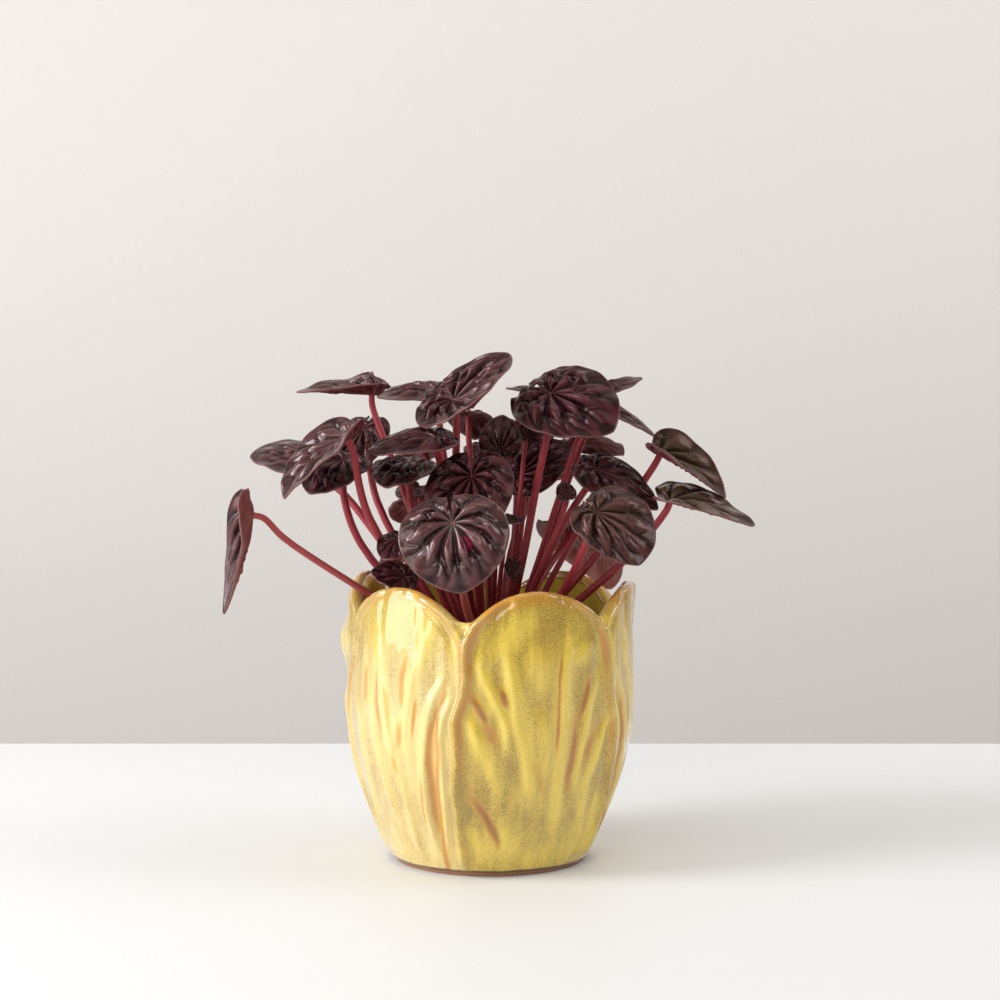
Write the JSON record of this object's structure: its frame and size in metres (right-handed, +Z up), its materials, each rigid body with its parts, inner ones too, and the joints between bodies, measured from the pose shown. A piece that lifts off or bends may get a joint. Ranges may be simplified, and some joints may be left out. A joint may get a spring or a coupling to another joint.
{
  "type": "potted peperomia plant",
  "caption": "Bushy potted plant with corrugated dark red heart-shaped leaves on thin stalks, in a round glazed pot shaped like overlapping petals with a wavy rim.",
  "frame": {"origin": "middle of the pot's flat foot, on the surface it stands on", "axes": "+Z up through the pot's mouth, -Y towards the side seen in front, +X to the right of that side"},
  "size_m": [0.2073, 0.1384, 0.2021],
  "materials": {
    "glaze": "glossy yellow crackle glaze over brown clay",
    "soil": "rough dark potting soil",
    "stalk": "satin wine-red stalk",
    "blade": "waxy dark burgundy leaf"
  },
  "bodies": {
    "root": {"pot": "glaze", "soil": "soil", "leaf_stalks": "stalk", "leaf_far_left": "blade", "leaf_top_left": "blade", "leaf_left": "blade", "leaf_left_back": "blade", "leaf_left_under": "blade", "leaf_left_inner": "blade", "leaf_top_back_left": "blade", "leaf_top_centre": "blade", "leaf_upper_middle": "blade", "leaf_middle_left": "blade", "leaf_top_right": "blade", "leaf_top_behind": "blade", "leaf_top_right_point": "blade", "leaf_right_point": "blade", "leaf_centre_young": "blade", "leaf_centre_small": "blade", "leaf_centre_dark": "blade", "leaf_inner_back": "blade", "leaf_behind_centre": "blade", "leaf_right_back": "blade", "leaf_left_low_back": "blade", "leaf_middle_low": "blade", "leaf_right_high": "blade", "leaf_right_low": "blade", "leaf_right_middle": "blade", "leaf_right_inner_back": "blade", "leaf_right_front": "blade", "leaf_right_small": "blade", "leaf_back_right_low": "blade", "leaf_front": "blade", "leaf_front_behind": "blade", "leaf_front_small": "blade", "leaf_front_rim": "blade", "leaf_front_tiny": "blade", "leaf_low_tiny": "blade", "leaf_back_high": "blade", "leaf_back_left": "blade", "leaf_back_right": "blade", "leaf_back_low": "blade", "leaf_back_low_left": "blade"}
  },
  "joints": []
}
